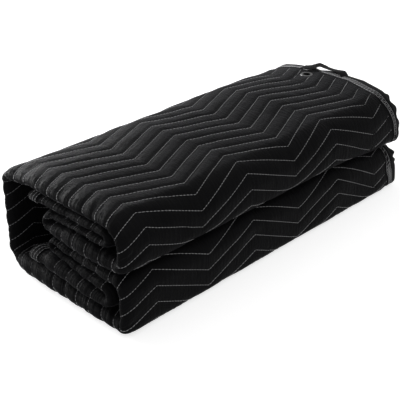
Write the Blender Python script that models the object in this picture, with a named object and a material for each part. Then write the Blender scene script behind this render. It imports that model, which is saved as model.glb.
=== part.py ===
"""Quilted moving blanket, folded for storage.

The blanket is one padded panel. It is folded once across its length, which leaves a round fold at
-X and two bound edges at +X, so that every layer of the stack is a pair of sheets. The pair is then
folded back and forth across its width. In cross-section it runs from one free side edge (run 2), round
an inner fold to run 3, back as run 4, up round the upper front fold to the top (run 1), down the back
wall, along the bottom (run 8), up round the lower front fold to run 5, and in again as runs 6 and 7.

Frame: X is the long side, with the round fold at -X and the bound edges at +X. Y is the width, with
the two front folds at -Y and the back wall at +Y. Z is up, and Z = 0 is the surface it lies on.
"""

import bisect
import math
from collections import namedtuple

import bmesh
import bpy
from mathutils import Vector

# Driving sizes, in metres.
MM = 0.001
LENGTH = 0.689  # from the mean round fold to the mean bound edge
SLOT = 0.0012  # between the two sheets of a layer
EDGE_SHEET = 0.0050  # a sheet squeezed flat inside its binding
NOSE_DEPTH = 0.52  # depth of the round fold at -X, as a share of its height
FOLD_REACH = 0.074  # the unevenness of the -X end dies out over this length

# Zigzag quilting.
STITCH_PITCH = 0.02765  # between stitch lines, along the face of the cloth
ZIGZAG_HALF = 0.1085  # along X, from a low point of the zigzag to the next high point
ZIGZAG_HIGH = 0.074  # first high point, from the round fold
ZIGZAG_SWING = 0.0233  # high and low points, either side of the middle
STITCH_START_Y = -0.035  # a stitch line crosses the top here, at the round fold
TROUGH = 0.0024  # depth of a sewn channel
TROUGH_SHARPNESS = 1.6  # how narrow the channel is beside the raised rib

# Binding, grommet and loop.
BINDING_WIDTH = 0.020  # on each face; past it the padding comes back to full thickness over as much again
SEWN_EDGE = BINDING_WIDTH + MM  # the quilting stops here
BINDING_THICK = 0.0010
BINDING_SIDE_REACH = 0.018  # of the tape on a side edge
GAP = 0.0003
GROMMET_X, GROMMET_Y = 0.637, 0.043
GROMMET_OUTER, GROMMET_HOLE = 0.0245, 0.0133
GROMMET_WALL = 0.0009
FLANGE = 0.0013
GROMMET_GRIP = 0.0050
GROMMET_STEPS = 20  # sides of its round
GROMMET_SPACE = 0.010  # how far the space that it squeezes out reaches above it
GROMMET_DOWN = 0.0055  # and below the middle of its sheet, into the slot
FLANGE_FLAT = 0.001  # level part of the flange's crown and of its inner lip
LOOP_WIDTH, LOOP_THICK = 0.022, 0.0018

# How closely the outline of the folded pair and the stations along its path are drawn.
QUILT_COLUMNS = [ZIGZAG_HIGH + ZIGZAG_HALF / 2 * step for step in range(11)]
NOSE_ANGLES = (60, 20, -20, -60)  # round the fold at -X
PLAIN_COLUMNS = 5  # points across a plain face
FACE_STEP = 0.001  # between the places where the outer sheet's face is measured
STEPS_TO_PITCH = 4  # stations from one stitch line to the next
ARC_STEP = 36  # degrees between stations on a hidden fold
LINE_STEP = 0.048  # between stations on a hidden run
CLOSEST_STATIONS = 0.0015

ROUND = 0.050  # a corner radius that makes a full half-turn with its neighbour

# One row for each corner of the fold path, in millimetres: where the corner lies and its radius, how far
# it is shifted at the -X end, the layer's thickness inside and at the -X end, how far the round fold
# stands out there, how far the outer and inner sheet of the pair stop short at +X, the share of the
# zigzag that the layer shows, how far the zigzag has slid along X and, at +X, along the path, and the
# share of the sewn relief.
Corner = namedtuple(
    "Corner", "name y z radius shift_y shift_z layer nose out short_outer short_inner zigzag slide slant relief"
)
FOLDS = [
    Corner("run_2_edge", 62, 151.5, 0, 0, 5.5, 20.8, 18.5, 2, 2, 6, 0, 0, 0, 0),
    Corner("run_2_front", -109, 151.5, ROUND / MM, 0, 5.5, 20.8, 17.5, 0, 2, 6, 0, 0, 0, 0),
    Corner("run_3_front", -109, 129.5, ROUND / MM, 0, 8.8, 20.8, 17.0, 0, 8, 4, 0, 0, 0, 0),
    Corner("run_3_middle", -40, 129.5, 0, 0, 9.6, 20.8, 12.0, -1, 8, 2, 0, 0, 0, 0),
    Corner("run_3_back", 33, 129.5, ROUND / MM, 0, 6.0, 20.8, 16.5, -1, 6, 2, 0, 0, 0, 0),
    Corner("run_4_back", 33, 107.5, ROUND / MM, 0, 9.5, 20.8, 17.5, 2, 8, 0, 0, 0, 0, 0),
    Corner("run_4_middle", -40, 107.5, 0, 0, 6.8, 20.8, 32.0, 7, 12, 0, 0.6, -20, 0, 0),
    Corner("upper_fold_bottom", -138.5, 107.5, 13, 0, 2.5, 20.8, 23.0, 2, 26, 0, 1, -24, 20, 1),
    Corner("upper_fold_top", -138.5, 173.0, 38, 0, 3.0, 20.8, 20.0, 2, 35, 8, 1, -24, 20, 1),
    Corner("run_1_front", -60, 173.8, 0, 0, 2.7, 20.8, 20.0, 2, 10, 6, 1, -24, 20, 1),
    Corner("run_1_middle", 10, 174.5, 200, 0, 2.5, 20.8, 20.0, 3, 3, 4, 1, -24, 20, 1),
    Corner("run_1_over_run_2", 66, 173.5, 60, 0, 3.5, 20.8, 20.0, 3, 4, 6, 1, -24, 20, 1),
    Corner("run_1_over_hollow", 100, 170.0, 80, 0, 1.0, 20.8, 20.0, 2, 6, 6, 1, -24, 20, 1),
    Corner("back_top", 137, 164.0, 22, 0, 3.0, 20.8, 20.0, 0, 12, 8, 1, -24, 20, 1),
    Corner("back_bottom", 137, 11.0, 20, 0, 3.0, 22.0, 26.0, 0, 6, 4, 1, -18, 0, 0.6),
    Corner("run_8_back", 80, 11.0, 0, 0, 7.0, 22.0, 35.6, 6, 2, 2, 1, -16, 0, 0),
    Corner("run_8_front", -40, 11.0, 0, 0, 4.0, 22.0, 30.0, 6, 0, 2, 1, -14, 0, 0),
    Corner("lower_fold_bottom", -138.5, 11.0, 13, 0, 1.0, 22.0, 24.0, 4, 12, 4, 1, -12, -19, 0.3),
    Corner("lower_fold_middle", -138.5, 48.0, 0, 0, 1.0, 22.0, 22.0, 2, 16, 2, 1, -12, -19, 1),
    Corner("lower_fold_top", -138.5, 84.0, 17, 0, 1.0, 22.0, 21.0, 2, 30, 4, 1, -12, -19, 1),
    Corner("run_5_middle", -40, 84.0, 0, 0, 3.5, 21.6, 15.0, 0, 14, 2, 0.6, -12, 0, 0),
    Corner("run_5_back", 26, 84.0, ROUND / MM, 0, 11.0, 21.6, 12.6, 0, 10, 0, 0, 0, 0, 0),
    Corner("run_6_back", 26, 59.5, ROUND / MM, 0, 19.9, 21.6, 12.6, 0, 8, 0, 0, 0, 0, 0),
    Corner("run_6_middle", -40, 59.5, 0, 0, 10.0, 22.0, 17.5, 1, 6, 4, 0, 0, 0, 0),
    Corner("run_6_front", -109, 59.5, ROUND / MM, 0, 3.5, 22.0, 22.0, 2, 4, 4, 0, 0, 0, 0),
    Corner("run_7_front", -109, 35.0, ROUND / MM, 0, 2.0, 22.0, 21.5, 4, 4, 6, 0, 0, 0, 0),
    Corner("run_7_middle", -40, 35.0, 0, 0, 10.0, 22.0, 26.0, 6, 4, 6, 0, 0, 0, 0),
    Corner("run_7_back", 30, 35.0, 0, 0, 17.5, 22.0, 31.0, 6, 4, 6, 0, 0, 0, 0),
    Corner("run_7_edge", 69, 35.0, 0, 0, 18.5, 22.0, 31.0, 6, 4, 6, 0, 0, 0, 0),
]

# Where the top of the loop runs above the bound edge: along Y, and up from its feet, in metres.
LoopPoint = namedtuple("LoopPoint", "y rise")
LOOP_ROUTE = [
    LoopPoint(0.070, 0.0),
    LoopPoint(0.060, 0.0),
    LoopPoint(0.054, 0.0045),
    LoopPoint(0.046, 0.0100),
    LoopPoint(0.034, 0.0108),
    LoopPoint(0.018, 0.0095),
    LoopPoint(0.002, 0.0065),
    LoopPoint(-0.012, 0.0025),
    LoopPoint(-0.020, 0.0),
    LoopPoint(-0.029, 0.0),
]

Finish = namedtuple("Finish", "name color roughness metallic")
QUILT = Finish("black_quilted_cloth", (0.022, 0.022, 0.025), 0.85, 0.0)
TAPE = Finish("black_binding_tape", (0.035, 0.035, 0.038), 0.75, 0.0)
METAL = Finish("nickel_plated_brass", (0.62, 0.62, 0.63), 0.3, 1.0)

Line = namedtuple("Line", "start end length")
Arc = namedtuple("Arc", "centre radius angle sweep length")


def lerp(low, high, share):
    return low + (high - low) * share


def interpolate(at, places, values):
    """Straight-line interpolation in a rising list of places."""
    if at <= places[0]:
        return values[0]
    if at >= places[-1]:
        return values[-1]
    index = bisect.bisect_left(places, at)
    span = places[index] - places[index - 1]
    return lerp(values[index - 1], values[index], (at - places[index - 1]) / span if span > 0 else 1.0)


def rounded_path(points, radii):
    """Lines and arcs along a polyline whose corners are rounded, alternating, one arc to a corner."""
    segments = []
    cursor = points[0]
    for index in range(1, len(points) - 1):
        before, corner, after = points[index - 1], points[index], points[index + 1]
        reach_in, reach_out = (corner - before).length, (after - corner).length
        direction_in = (corner - before).normalized()
        direction_out = (after - corner).normalized()
        turn = direction_in.x * direction_out.y - direction_in.y * direction_out.x
        angle = math.atan2(turn, direction_in.dot(direction_out))
        half = math.tan(abs(angle) / 2.0)
        tangent = min(radii[index] * half, 0.499 * reach_in, 0.499 * reach_out)
        entry = corner - direction_in * tangent
        segments.append(Line(cursor, entry, (entry - cursor).length))
        radius = tangent / half if half > 1e-6 else 0.0
        side = Vector((-direction_in.y, direction_in.x)) * math.copysign(1.0, angle)
        centre = entry + side * radius
        start = math.atan2(entry.y - centre.y, entry.x - centre.x)
        segments.append(Arc(centre, radius, start, angle, radius * abs(angle)))
        cursor = corner + direction_out * tangent
    segments.append(Line(cursor, points[-1], (points[-1] - cursor).length))
    return segments


def on_segment(segment, share):
    """Point and direction of travel at a share of one segment."""
    if isinstance(segment, Line):
        point = segment.start.lerp(segment.end, share)
        return point, (segment.end - segment.start).normalized()
    angle = segment.angle + segment.sweep * share
    spoke = Vector((math.cos(angle), math.sin(angle)))
    travel = Vector((-spoke.y, spoke.x)) * math.copysign(1.0, segment.sweep)
    return segment.centre + spoke * segment.radius, travel


class FoldPath:
    """The folded pair of sheets in cross-section, inside the stack and at the -X end."""

    def __init__(self, rows):
        radii = [row.radius * MM for row in rows]
        inside = [Vector((row.y, row.z)) * MM for row in rows]
        at_end = [Vector((row.y + row.shift_y, row.z + row.shift_z)) * MM for row in rows]
        self.inside = rounded_path(inside, radii)
        self.at_end = rounded_path(at_end, radii)
        self.starts = [0.0]
        for segment in self.inside:
            self.starts.append(self.starts[-1] + segment.length)
        self.total = self.starts[-1]
        middles = [self.starts[2 * i - 1] + self.inside[2 * i - 1].length / 2 for i in range(1, len(rows) - 1)]
        self.places = [0.0] + middles + [self.total]
        self.rows = rows
        self.path_marks, self.face_marks = self.measure_face()

    def measure_face(self):
        """Distances along the path, and along the outer sheet's face beside them."""
        count = round(self.total / FACE_STEP)
        path_marks = [self.total * step / count for step in range(count + 1)]
        face_marks = [0.0]
        spots = []
        for mark in path_marks:
            point, normal = self.frame(mark, 1.0)
            spots.append(point + normal * self.value("layer", mark) * MM / 2)
        for low, high in zip(spots, spots[1:]):
            face_marks.append(face_marks[-1] + (high - low).length)
        return path_marks, face_marks

    def face_length(self, along):
        return interpolate(along, self.path_marks, self.face_marks)

    def shifted(self, along, shift):
        """The place on the path that lies a shift further along the outer sheet's face."""
        if shift == 0.0:
            return along
        return interpolate(self.face_length(along) + shift, self.face_marks, self.path_marks)

    def value(self, name, along):
        return interpolate(along, self.places, [getattr(row, name) for row in self.rows])

    def place_of(self, name):
        return self.places[[row.name for row in self.rows].index(name)]

    def frame(self, along, inward):
        """Point, and normal towards the outer sheet; inward is 0 at the -X end and 1 inside the stack."""
        along = min(max(along, 0.0), self.total)
        index = 0
        while index < len(self.inside) - 1 and along > self.starts[index + 1]:
            index += 1
        length = self.inside[index].length
        share = (along - self.starts[index]) / length if length > 1e-9 else 0.5
        point_end, travel_end = on_segment(self.at_end[index], share)
        point_in, travel_in = on_segment(self.inside[index], share)
        point = point_end.lerp(point_in, inward)
        travel = travel_end.lerp(travel_in, inward).normalized()
        return point, Vector((-travel.y, travel.x))


def zigzag(distance):
    """The zigzag's shift along the path, at a distance from the round fold."""
    phase = ((distance - ZIGZAG_HIGH) / (2 * ZIGZAG_HALF)) % 1.0
    return ZIGZAG_SWING * (abs(4 * phase - 2) - 1)


def inward_share(distance):
    share = min(max(distance / FOLD_REACH, 0.0), 1.0)
    return share * share * (3 - 2 * share)


class Section:
    """One ring of the folded pair: a U of two sheets, closed at -X, at one station of the path."""

    def __init__(self, path, along, stitch):
        self.path = path
        self.along = along
        self.total = path.total
        self.tip = -path.value("out", along) * MM
        nose = path.value("nose", along) * MM
        self.nose_depth = NOSE_DEPTH * nose
        self.slant = path.value("slant", along) * MM
        self.share = path.value("zigzag", along)
        self.slide = path.value("slide", along) * MM
        self.end_outer = LENGTH - path.value("short_outer", along) * MM
        self.end_inner = LENGTH - path.value("short_inner", along) * MM
        phase = ((path.face_length(along) - stitch) / STITCH_PITCH) % 1.0
        depth = TROUGH * path.value("relief", along)
        self.channel = depth * (0.5 + 0.5 * math.cos(2 * math.pi * phase)) ** TROUGH_SHARPNESS

    def half_layer(self, distance):
        inward = inward_share(distance)
        nose = self.path.value("nose", self.along) * MM
        return lerp(nose, self.path.value("layer", self.along) * MM, inward) / 2

    def half_sheet(self, distance, end):
        """Half the thickness of one sheet, thinner towards its side edge and under its binding."""
        full = (self.half_layer(distance) - SLOT / 2) / 2
        inset = min(self.along, self.total - self.along, end - distance)
        puffed = min(max((inset - BINDING_WIDTH) / BINDING_WIDTH, 0.0), 1.0)
        return lerp(min(EDGE_SHEET / 2, full), full, puffed)

    def spread(self, distance):
        """From the middle of the pair to the middle of one sheet."""
        return (self.half_layer(distance) + SLOT / 2) / 2

    def sway(self, distance):
        """How far the zigzag and its slant move a point of the outer face along the path. Under the
        binding the move dies out."""
        slanted = self.slant * max(distance, 0.0) / LENGTH
        share = min(max((self.end_outer - distance) / SEWN_EDGE, 0.0), 1.0)
        return share * (self.share * zigzag(distance - self.slide) + slanted)

    def to_space(self, distance, offset, sway=0.0):
        place = self.path.shifted(self.along, sway)
        point, normal = self.path.frame(place, inward_share(distance))
        flat = point + normal * offset
        return Vector((distance - LENGTH / 2, flat.x, flat.y))

    def face(self, distance, end, side, surface, relief=0.0, sway=0.0):
        """A point on a sheet: side 1 is the outer sheet, surface 1 its face away from the slot."""
        offset = self.spread(distance) + surface * self.half_sheet(distance, end)
        return self.to_space(distance, side * (offset - relief), sway)

    def nose_start(self):
        return self.tip + self.nose_depth

    def nose_point(self, angle, surface, extra=0.0):
        """A point of the round fold, at an angle from 90 degrees (outer sheet) to -90 (inner)."""
        start = self.nose_start()
        thick = self.half_sheet(start, LENGTH)
        rise = self.spread(start) + surface * (thick + extra)
        depth = self.nose_depth - (1 - surface) * thick + surface * extra
        turn = math.radians(angle)
        return self.to_space_at(start - depth * math.cos(turn), rise * math.sin(turn), start)

    def to_space_at(self, distance, offset, shape_at):
        point, normal = self.path.frame(self.along, inward_share(shape_at))
        flat = point + normal * offset
        return Vector((distance - LENGTH / 2, flat.x, flat.y))


def plain_columns(section, end):
    """Distances along X where a plain face of a sheet has its points."""
    return [section.nose_start(), FOLD_REACH, end - 2 * BINDING_WIDTH, end - SEWN_EDGE, end]


def panel_ring(section):
    """The closed outline of the folded pair at one station, from the outer sheet round to itself."""
    outer_end, inner_end = section.end_outer, section.end_inner
    zigzag_columns = [section.slide + column for column in QUILT_COLUMNS]
    quilted = [section.nose_start()] + zigzag_columns + [outer_end - SEWN_EDGE, outer_end]
    ring = []
    for index, distance in enumerate(reversed(quilted)):
        relief = section.channel if 1 < index < len(quilted) - 1 else 0.0
        ring.append(section.face(distance, outer_end, 1, 1, relief, section.sway(distance)))
    ring += [section.nose_point(angle, 1) for angle in NOSE_ANGLES]
    inner_columns = plain_columns(section, inner_end)
    ring += [section.face(x, inner_end, -1, 1) for x in inner_columns]
    ring += [section.face(x, inner_end, -1, -1) for x in reversed(inner_columns)]
    ring += [section.nose_point(angle, -1) for angle in reversed(NOSE_ANGLES)]
    ring += [section.face(x, outer_end, 1, -1) for x in plain_columns(section, outer_end)]
    return ring


def end_binding_ring(section, side):
    """A channel of tape over the bound edge of one sheet: side 1 is the outer sheet's."""
    end = section.end_outer if side > 0 else section.end_inner
    half = section.half_sheet(end, end)
    middle = section.spread(end)
    start = end - BINDING_WIDTH
    sway = section.sway(start) if side > 0 else 0.0
    near, far = half + GAP, half + GAP + BINDING_THICK
    outline = [
        (start, far, sway), (end + GAP + BINDING_THICK, far, 0.0),
        (end + GAP + BINDING_THICK, -far, 0.0), (start, -far, 0.0),
        (start, -near, 0.0), (end + GAP, -near, 0.0),
        (end + GAP, near, 0.0), (start, near, sway),
    ]
    return [section.to_space(x, side * (middle + offset), shift) for x, offset, shift in outline]


def side_binding_rings(path, stitch, at_start):
    """Tape over one free side edge, from the outer sheet's end, round the fold, to the inner sheet's."""
    sign = 1 if at_start else -1
    edge = 0.0 if at_start else path.total
    overhang = GAP + BINDING_THICK
    lip = Section(path, edge, stitch)
    hem = Section(path, edge + sign * BINDING_SIDE_REACH, stitch)

    def ring(point_of):
        """Eight corners of the channel, with point_of(section, surface, lift) giving each."""
        corners = [
            point_of(hem, 1, overhang), point_of(lip, 1, overhang),
            point_of(lip, -1, overhang), point_of(hem, -1, overhang),
            point_of(hem, -1, GAP), point_of(lip, -1, GAP),
            point_of(lip, 1, GAP), point_of(hem, 1, GAP),
        ]
        _, normal = path.frame(edge, 1.0)
        travel = Vector((0.0, normal.y, -normal.x)) * -sign
        for index, push in ((1, overhang), (2, overhang), (5, GAP), (6, GAP)):
            corners[index] += travel * push
        return corners

    def on_sheet(side, from_end):
        def point_of(section, surface, lift):
            end = section.end_outer if side > 0 else section.end_inner
            distance = section.nose_start() if from_end is None else max(end - from_end, FOLD_REACH)
            offset = section.spread(distance) + surface * (section.half_sheet(distance, end) + lift)
            return section.to_space(distance, side * offset)

        return point_of

    def round_nose(angle):
        return lambda section, surface, lift: section.nose_point(angle, surface, lift)

    arms = [BINDING_WIDTH + 2 * GAP, 2 * BINDING_WIDTH, LENGTH - FOLD_REACH]
    rings = [ring(on_sheet(1, arm)) for arm in arms] + [ring(on_sheet(1, None))]
    rings += [ring(round_nose(angle)) for angle in NOSE_ANGLES]
    rings += [ring(on_sheet(-1, None))] + [ring(on_sheet(-1, arm)) for arm in reversed(arms)]
    return rings


def stations(path, stitch):
    """Distances along the path: close together where quilting shows or a fold turns, few elsewhere."""
    marks = {0.0, path.total}
    step = STITCH_PITCH / STEPS_TO_PITCH
    margin = ZIGZAG_SWING + step
    for first, last in (("upper_fold_bottom", "back_bottom"), ("lower_fold_bottom", "lower_fold_top")):
        low = path.face_length(path.place_of(first)) - margin
        high = path.face_length(path.place_of(last)) + margin
        for index in range(math.ceil((low - stitch) / step), math.floor((high - stitch) / step) + 1):
            marks.add(interpolate(stitch + index * step, path.face_marks, path.path_marks))
    quilted = sorted(marks)
    for edge in (BINDING_SIDE_REACH, BINDING_WIDTH, 2 * BINDING_WIDTH):
        marks |= {edge, path.total - edge}
    for index, segment in enumerate(path.inside):
        start = path.starts[index]
        if isinstance(segment, Arc):
            pieces = max(1, round(abs(math.degrees(segment.sweep)) / ARC_STEP))
        else:
            pieces = max(1, math.ceil(segment.length / LINE_STEP))
        for piece in range(pieces + 1):
            mark = start + segment.length * piece / pieces
            if min(abs(mark - other) for other in quilted) > 0.8 * step:
                marks.add(mark)
    return thin_out(sorted(marks), quilted)


def thin_out(marks, kept):
    """Drops marks that nearly coincide, but never those in kept."""
    result = [marks[0]]
    for mark in marks[1:]:
        if mark - result[-1] > CLOSEST_STATIONS:
            result.append(mark)
        elif mark in kept:
            result[-1] = mark
    return result


def collection_named(name):
    collection = bpy.data.collections.new(name)
    bpy.context.scene.collection.children.link(collection)
    return collection


def material_for(finish):
    material = bpy.data.materials.get(finish.name)
    if material is None:
        material = bpy.data.materials.new(finish.name)
        material.use_nodes = True
        shader = material.node_tree.nodes["Principled BSDF"]
        shader.inputs["Base Color"].default_value = (*finish.color, 1.0)
        shader.inputs["Roughness"].default_value = finish.roughness
        shader.inputs["Metallic"].default_value = finish.metallic
    return material


def add_object(name, mesh, finish, collection):
    piece = bpy.data.objects.new(name, mesh)
    collection.objects.link(piece)
    if finish:
        mesh.materials.append(material_for(finish))
    return piece


def fill_between(work, first, second):
    """Triangles between two chains of points that run side by side, shortest crossing first."""
    i, j = 0, 0
    while i < len(first) - 1 or j < len(second) - 1:
        step_first = i < len(first) - 1
        step_second = j < len(second) - 1
        if step_first and step_second:
            across_first = (first[i + 1].co - second[j].co).length
            across_second = (first[i].co - second[j + 1].co).length
            step_first = across_first <= across_second
        if step_first:
            work.faces.new((first[i], first[i + 1], second[j]))
            i += 1
        else:
            work.faces.new((first[i], second[j + 1], second[j]))
            j += 1


def loft(name, rings, split=None):
    """A closed mesh through rings of equally many points. The ends are filled across from the ring's
    first points, up to split, to the rest of it: by default from one half of the ring to the other."""
    mesh = bpy.data.meshes.new(name)
    work = bmesh.new()
    loops = [[work.verts.new(point) for point in ring] for ring in rings]
    count = len(rings[0])
    for low, high in zip(loops, loops[1:]):
        for index in range(count):
            after = (index + 1) % count
            work.faces.new((low[index], low[after], high[after], high[index]))
    for loop in (loops[0], loops[-1]):
        fill_between(work, loop[:split or count // 2], loop[:(split or count // 2) - 1:-1])
    bmesh.ops.triangulate(work, faces=work.faces[:], quad_method="SHORT_EDGE")
    bmesh.ops.recalc_face_normals(work, faces=work.faces[:])
    work.to_mesh(mesh)
    work.free()
    return mesh


def turned(name, profile):
    """A ring turned about Z from a closed profile of (radius, height)."""
    mesh = bpy.data.meshes.new(name)
    work = bmesh.new()
    points = [work.verts.new((radius, 0.0, height)) for radius, height in profile]
    edges = [work.edges.new((a, b)) for a, b in zip(points, points[1:] + points[:1])]
    bmesh.ops.spin(
        work, geom=points + edges, cent=(0, 0, 0), axis=(0, 0, 1), angle=2 * math.pi,
        steps=GROMMET_STEPS, use_merge=True,
    )
    bmesh.ops.remove_doubles(work, verts=work.verts[:], dist=0.00001)
    bmesh.ops.recalc_face_normals(work, faces=work.faces[:])
    work.to_mesh(mesh)
    work.free()
    return mesh


def top_of_outer_sheet(path, y):
    """Height of the middle of the outer sheet on the top run, at a place across the width."""
    low, high = path.place_of("upper_fold_top"), path.place_of("back_top")
    for _ in range(40):
        middle = (low + high) / 2
        if path.frame(middle, 1.0)[0].x < y:
            low = middle
        else:
            high = middle
    point, _ = path.frame(low, 1.0)
    return point.y + (path.value("layer", low) * MM / 2 + SLOT / 2) / 2, low


def grommet_profile(clearance):
    """Half-section of the two-part grommet; with a clearance, of the space it squeezes out."""
    hole, barrel = GROMMET_HOLE / 2, GROMMET_HOLE / 2 + GROMMET_WALL
    rim = GROMMET_OUTER / 2
    grip = GROMMET_GRIP / 2
    top = grip + FLANGE
    crest = (hole + rim) / 2
    if clearance:
        wide, reach = rim + clearance, top + GROMMET_SPACE
        narrow = barrel + clearance
        return [
            (0.0, -GROMMET_DOWN), (wide, -GROMMET_DOWN), (wide, -grip + clearance), (narrow, -grip + clearance),
            (narrow, grip - clearance), (wide, grip - clearance), (wide, reach), (0.0, reach),
        ]
    return [
        (hole, -top), (crest, -top), (rim, -grip), (barrel, -grip), (barrel, grip), (rim, grip),
        (crest + FLANGE_FLAT, top), (hole + FLANGE_FLAT, top), (hole, grip),
    ]


def cutter_mesh(name, profile):
    """The solid of revolution under a profile that starts and ends on the axis."""
    mesh = bpy.data.meshes.new(name)
    work = bmesh.new()
    points = [work.verts.new((radius, 0.0, height)) for radius, height in profile]
    edges = [work.edges.new((a, b)) for a, b in zip(points, points[1:])]
    bmesh.ops.spin(
        work, geom=points + edges, cent=(0, 0, 0), axis=(0, 0, 1), angle=2 * math.pi,
        steps=GROMMET_STEPS,
    )
    bmesh.ops.remove_doubles(work, verts=work.verts[:], dist=0.00001)
    bmesh.ops.recalc_face_normals(work, faces=work.faces[:])
    work.to_mesh(mesh)
    work.free()
    return mesh


def add_panel(path, marks, stitch, parts, cutters):
    """The quilted panel, with the hole for the grommet cut through its top sheet."""
    rings = [panel_ring(Section(path, mark, stitch)) for mark in marks]
    outside = len(rings[0]) - len(NOSE_ANGLES) - 2 * PLAIN_COLUMNS
    panel = add_object("quilted_panel", loft("quilted_panel", rings, outside), QUILT, parts)
    height, _ = top_of_outer_sheet(path, GROMMET_Y)
    place = Vector((GROMMET_X - LENGTH / 2, GROMMET_Y, height))
    cutter = add_object("grommet_space", cutter_mesh("grommet_space", grommet_profile(GAP)), None, cutters)
    cutter.location = place
    cutter.hide_render = True
    cutter.display_type = "WIRE"
    cut = panel.modifiers.new("grommet_hole", "BOOLEAN")
    cut.operation = "DIFFERENCE"
    cut.solver = "EXACT"
    cut.object = cutter
    return place


def add_grommet(place, parts):
    mesh = turned("grommet", grommet_profile(0.0))
    grommet = add_object("grommet", mesh, METAL, parts)
    grommet.location = place


def add_bindings(path, marks, stitch, parts):
    for name, side in (("binding_end_outer", 1), ("binding_end_inner", -1)):
        rings = [end_binding_ring(Section(path, mark, stitch), side) for mark in marks]
        add_object(name, loft(name, rings), TAPE, parts)
    for name, at_start in (("binding_side_upper", True), ("binding_side_lower", False)):
        add_object(name, loft(name, side_binding_rings(path, stitch, at_start)), TAPE, parts)


def add_loop(path, parts):
    """A loop of tape whose two feet lie on the bound edge of the top sheet."""
    rings = []
    for index, point in enumerate(LOOP_ROUTE):
        before = LOOP_ROUTE[max(index - 1, 0)]
        after = LOOP_ROUTE[min(index + 1, len(LOOP_ROUTE) - 1)]
        middle, along = top_of_outer_sheet(path, point.y)
        base = middle + EDGE_SHEET / 2 + 2 * GAP + BINDING_THICK
        end = LENGTH - path.value("short_outer", along) * MM - MM
        slope = Vector((after.y - before.y, after.rise - before.rise)).normalized()
        up = Vector((slope.y, -slope.x))
        ring = []
        for x, lift in ((end, 0.0), (end, LOOP_THICK), (end - LOOP_WIDTH, LOOP_THICK), (end - LOOP_WIDTH, 0.0)):
            ring.append(Vector((x - LENGTH / 2, point.y + up.x * lift, base + point.rise + up.y * lift)))
        rings.append(ring)
    add_object("edge_loop", loft("edge_loop", rings), TAPE, parts)


def main():
    for piece in list(bpy.data.objects):
        bpy.data.objects.remove(piece, do_unlink=True)
    parts = collection_named("moving_blanket")
    cutters = collection_named("cutters")
    path = FoldPath(FOLDS)
    _, along = top_of_outer_sheet(path, STITCH_START_Y)
    stitch = path.face_length(along)
    marks = stations(path, stitch)
    place = add_panel(path, marks, stitch, parts, cutters)
    add_grommet(place, parts)
    add_bindings(path, marks, stitch, parts)
    add_loop(path, parts)


main()
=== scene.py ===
"""Looks of the folded moving blanket: quilted cloth, stitching, bindings, grommet and loop.

The cloth is one thin padded panel, folded in half at -X and then back and forth across its width, as
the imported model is. Its fold path is repeated here at a finer step, with the pillows between the stitch
lines, the soft creases of the photographed fold, and every stitch as its own small piece of thread.
"""

import bisect
import math
from collections import namedtuple

import bmesh
import bpy
from mathutils import Matrix, Vector, noise

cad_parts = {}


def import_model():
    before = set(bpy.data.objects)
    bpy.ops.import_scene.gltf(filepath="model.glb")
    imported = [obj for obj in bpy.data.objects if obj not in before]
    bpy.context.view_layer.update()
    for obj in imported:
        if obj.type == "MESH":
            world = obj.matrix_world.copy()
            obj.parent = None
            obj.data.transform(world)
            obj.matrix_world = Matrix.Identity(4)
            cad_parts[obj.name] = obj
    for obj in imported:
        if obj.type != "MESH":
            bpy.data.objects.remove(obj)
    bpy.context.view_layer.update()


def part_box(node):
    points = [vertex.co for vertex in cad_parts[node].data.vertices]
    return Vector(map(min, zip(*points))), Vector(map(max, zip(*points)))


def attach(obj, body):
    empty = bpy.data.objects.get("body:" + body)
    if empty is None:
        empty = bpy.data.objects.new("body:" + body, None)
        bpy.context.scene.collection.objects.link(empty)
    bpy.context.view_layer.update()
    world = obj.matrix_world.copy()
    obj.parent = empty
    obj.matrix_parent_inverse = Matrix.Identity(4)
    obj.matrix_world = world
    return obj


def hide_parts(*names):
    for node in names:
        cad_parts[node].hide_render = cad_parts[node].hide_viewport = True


MM = 0.001

# ---- sizes of the folded blanket, in metres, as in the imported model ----
LENGTH = 0.689  # from the mean round fold to the mean bound edge
SLOT = 0.0012  # between the two sheets of a layer
EDGE_SHEET = 0.0050  # a sheet squeezed flat inside its binding
NOSE_DEPTH = 0.52  # depth of the round fold at -X, as a share of its height
FOLD_REACH = 0.074  # the unevenness of the -X end dies out over this length
STITCH_PITCH = 0.02765  # between quilting lines, along the face of the cloth
ZIGZAG_HALF = 0.1085  # from one corner of a quilting line to the next
ZIGZAG_HIGH = 0.074  # the first corner, from the round fold
ZIGZAG_SWING = 0.0233  # to either side of the line's middle
STITCH_START_Y = -0.035  # a quilting line crosses the top here
BINDING_WIDTH = 0.020
BINDING_THICK = 0.0010
BINDING_SIDE_REACH = 0.018  # of a side binding, in from the side edge
SEWN_EDGE = BINDING_WIDTH + MM  # the quilting stops here
GAP = 0.0003  # between pieces that lie on each other
GROMMET_X, GROMMET_Y = 0.637, 0.043
GROMMET_OUTER, GROMMET_HOLE = 0.0245, 0.0133
GROMMET_GRIP = 0.0050  # the cloth's thickness between the two flanges
GROMMET_BARREL = GROMMET_HOLE / 2 + 0.9 * MM
LOOP_WIDTH, LOOP_THICK = 0.022, 0.0018
ROUND = 0.050  # a corner radius that makes a full half-turn with its neighbour

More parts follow.
